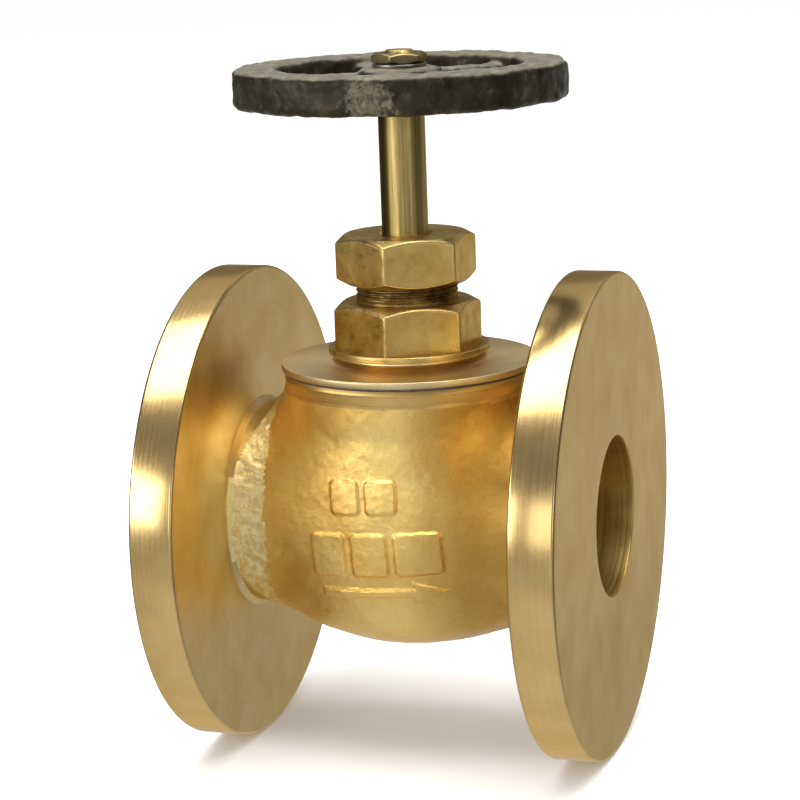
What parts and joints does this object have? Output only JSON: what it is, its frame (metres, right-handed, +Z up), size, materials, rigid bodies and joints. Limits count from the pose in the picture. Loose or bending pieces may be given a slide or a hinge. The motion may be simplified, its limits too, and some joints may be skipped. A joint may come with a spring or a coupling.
{
  "type": "globe valve",
  "caption": "Flanged bronze globe valve with a screwed hexagon bonnet, packed rising stem and lobed iron handwheel, fully open.",
  "frame": {"origin": "where the pipe's axis crosses the stem's axis, midway between the two flange faces", "axes": "+X along the pipe in the direction of flow, +Z up the stem towards the handwheel, -Y the front with the cast arrow"},
  "size_m": [0.131, 0.152, 0.2206],
  "materials": {
    "cast_bronze": "satin as-cast bronze with fine sand texture, turned on the flange faces and rims",
    "machined_brass": "machined, slightly tarnished",
    "polished_brass": "bright drawn bar",
    "handwheel_iron": "black paint over rough cast iron",
    "steel": "plain machined steel",
    "ptfe": "smooth waxy white PTFE",
    "graphite_packing": "braided graphite yarn",
    "gasket_fibre": "compressed fibre sheet"
  },
  "bodies": {
    "valve_body": {"body_casting": "cast_bronze", "seat_ring": "machined_brass", "bonnet": "machined_brass", "bonnet_gasket": "gasket_fibre", "packing_washer": "machined_brass", "packing_ring_1": "graphite_packing", "packing_ring_2": "graphite_packing", "packing_ring_3": "graphite_packing"},
    "disc": {"disc_holder": "machined_brass", "disc_insert": "ptfe", "insert_washer": "machined_brass", "insert_nut": "machined_brass", "swivel_nut": "machined_brass", "thrust_pad": "steel"},
    "stem_and_wheel": {"stem": "polished_brass", "handwheel": "handwheel_iron", "handwheel_washer": "steel", "handwheel_nut": "polished_brass"},
    "gland": {"gland": "machined_brass"},
    "gland_nut": {"gland_nut": "machined_brass"}
  },
  "joints": [
    {"name": "stem_lift", "type": "slide", "parent": "valve_body", "child": "disc", "axis": [0, 0, 1], "range_m": [-0.014, 0]},
    {"name": "handwheel_turn", "type": "hinge", "parent": "disc", "child": "stem_and_wheel", "pos_m": [0, 0, 0.13], "axis": [0, 0, 1], "range_deg": [-1260, 0]},
    {"name": "gland_lift", "type": "slide", "parent": "valve_body", "child": "gland", "axis": [0, 0, 1], "range_m": [0, 0.006]},
    {"name": "gland_nut_turn", "type": "hinge", "parent": "gland", "child": "gland_nut", "pos_m": [0, 0, 0.08], "axis": [0, 0, 1], "range_deg": [0, 1440]}
  ],
  "couplings": [
    {"joint": "stem_lift", "follows": "handwheel_turn", "m_per_rad": 0.00063662},
    {"joint": "gland_lift", "follows": "gland_nut_turn", "m_per_rad": 0.00023873}
  ]
}
